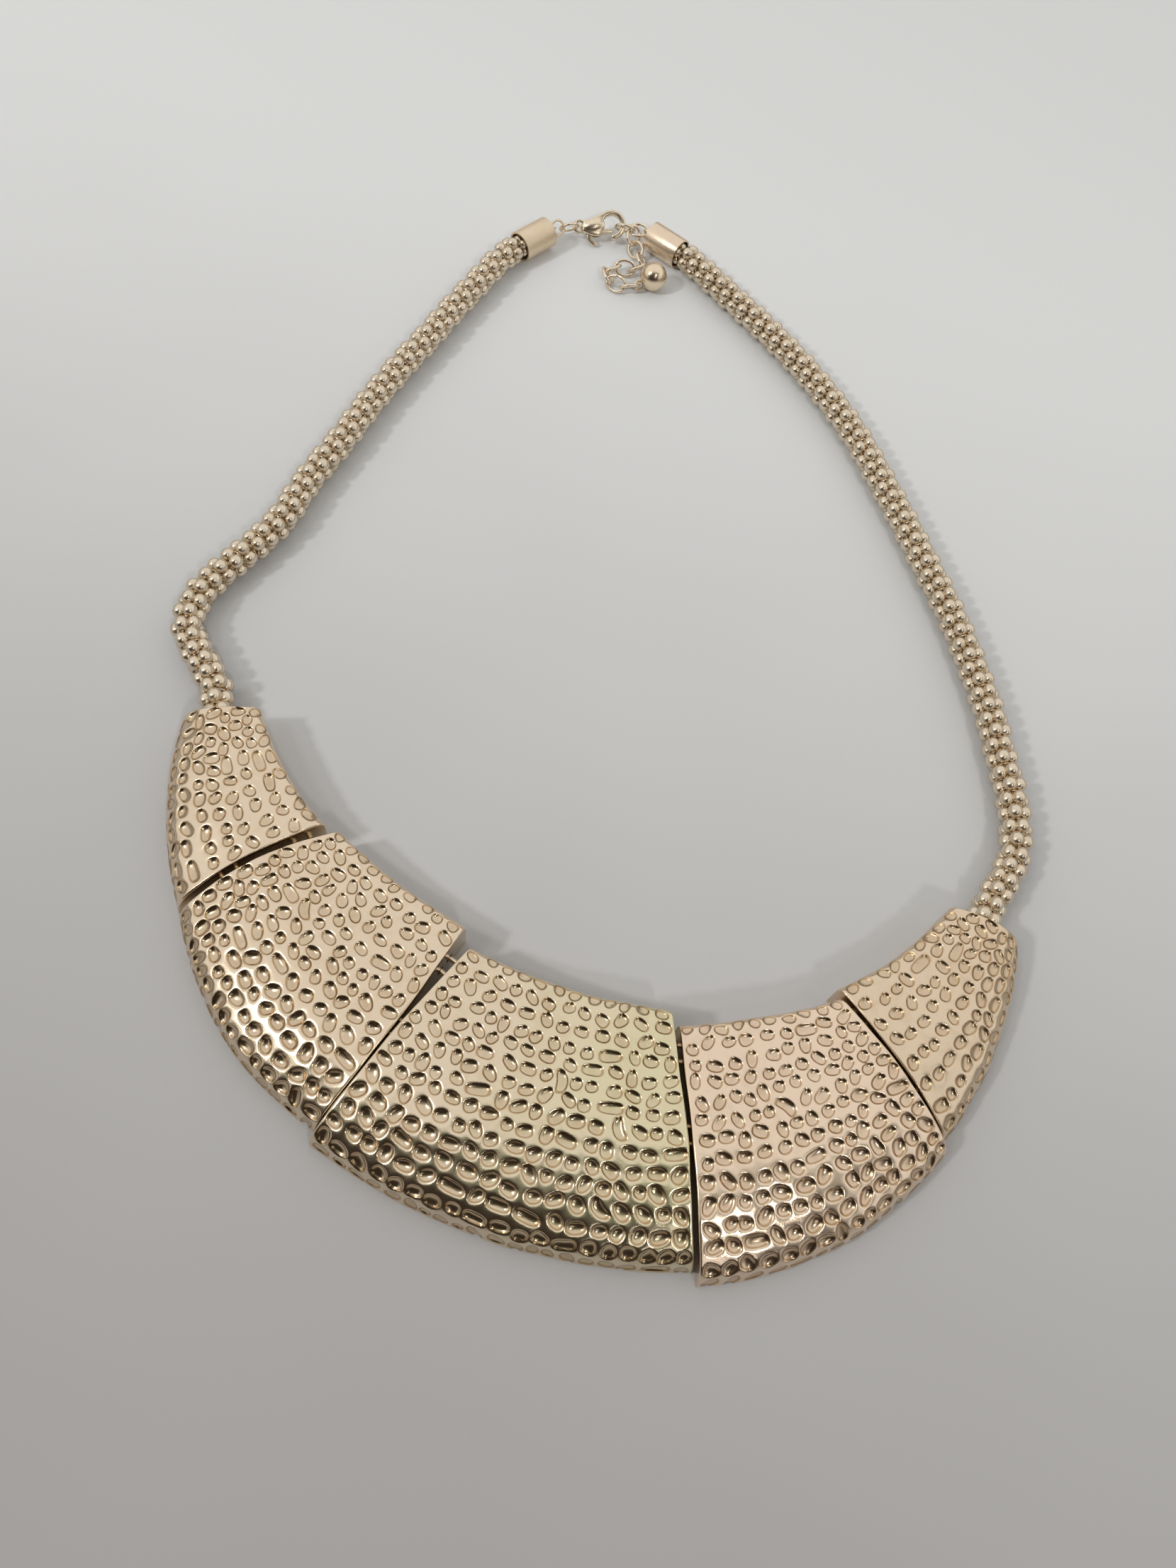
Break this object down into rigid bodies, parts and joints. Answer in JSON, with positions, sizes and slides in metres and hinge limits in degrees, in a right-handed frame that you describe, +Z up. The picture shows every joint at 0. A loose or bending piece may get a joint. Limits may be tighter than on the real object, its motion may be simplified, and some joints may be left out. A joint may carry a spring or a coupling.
{
  "type": "sautoir necklace",
  "caption": "Gold-tone necklace of dented, curved plates linked edge to edge, on two bead-mesh chains with end caps, lobster clasp and extender chain, lying flat.",
  "frame": {"origin": "on the surface that the necklace lies on, below the middle of its outer size", "axes": "+Z up off the surface; +Y from the plates towards the clasp; +X to the right of someone who looks down on it with the plates nearest"},
  "size_m": [0.159, 0.2332, 0.0089],
  "materials": {
    "plate_gold": "pale champagne gold plating on pressed metal, satin to glossy, rubbed",
    "chain_gold": "warm gold plating, glossy",
    "cap_gold": "pale gold plating, satin",
    "wire_gold": "pale gold plating, glossy",
    "clasp_gold": "pale gold plating, glossy, slightly worn"
  },
  "bodies": {
    "necklace": {"plate_left_end": "plate_gold", "plate_left": "plate_gold", "plate_centre": "plate_gold", "plate_right": "plate_gold", "plate_right_end": "plate_gold", "tie_ring_1": "wire_gold", "tie_ring_2": "wire_gold", "tie_ring_3": "wire_gold", "tie_ring_4": "wire_gold", "tie_ring_5": "wire_gold", "tie_ring_6": "wire_gold", "tie_ring_7": "wire_gold", "tie_ring_8": "wire_gold", "chain_left": "chain_gold", "chain_right": "chain_gold", "cap_left": "cap_gold", "cap_right": "cap_gold", "jump_ring_1": "wire_gold", "jump_ring_2": "wire_gold", "extender_link_1": "wire_gold", "extender_link_2": "wire_gold", "extender_link_3": "wire_gold", "extender_link_4": "wire_gold", "extender_link_5": "wire_gold", "extender_link_6": "wire_gold", "extender_link_7": "wire_gold", "extender_link_8": "wire_gold", "extender_link_9": "wire_gold", "extender_link_10": "wire_gold", "extender_link_11": "wire_gold", "end_ball": "clasp_gold", "clasp_body": "clasp_gold"},
    "clasp_lever": {"clasp_lever": "clasp_gold"}
  },
  "joints": [
    {"name": "clasp_lever_hinge", "type": "hinge", "parent": "necklace", "child": "clasp_lever", "pos_m": [0.00485, 0.11145, 0.00259], "axis": [-0.0537, -0.6133, 0.788], "range_deg": [0, 20], "stiffness_Nm_per_rad": 0.004}
  ]
}
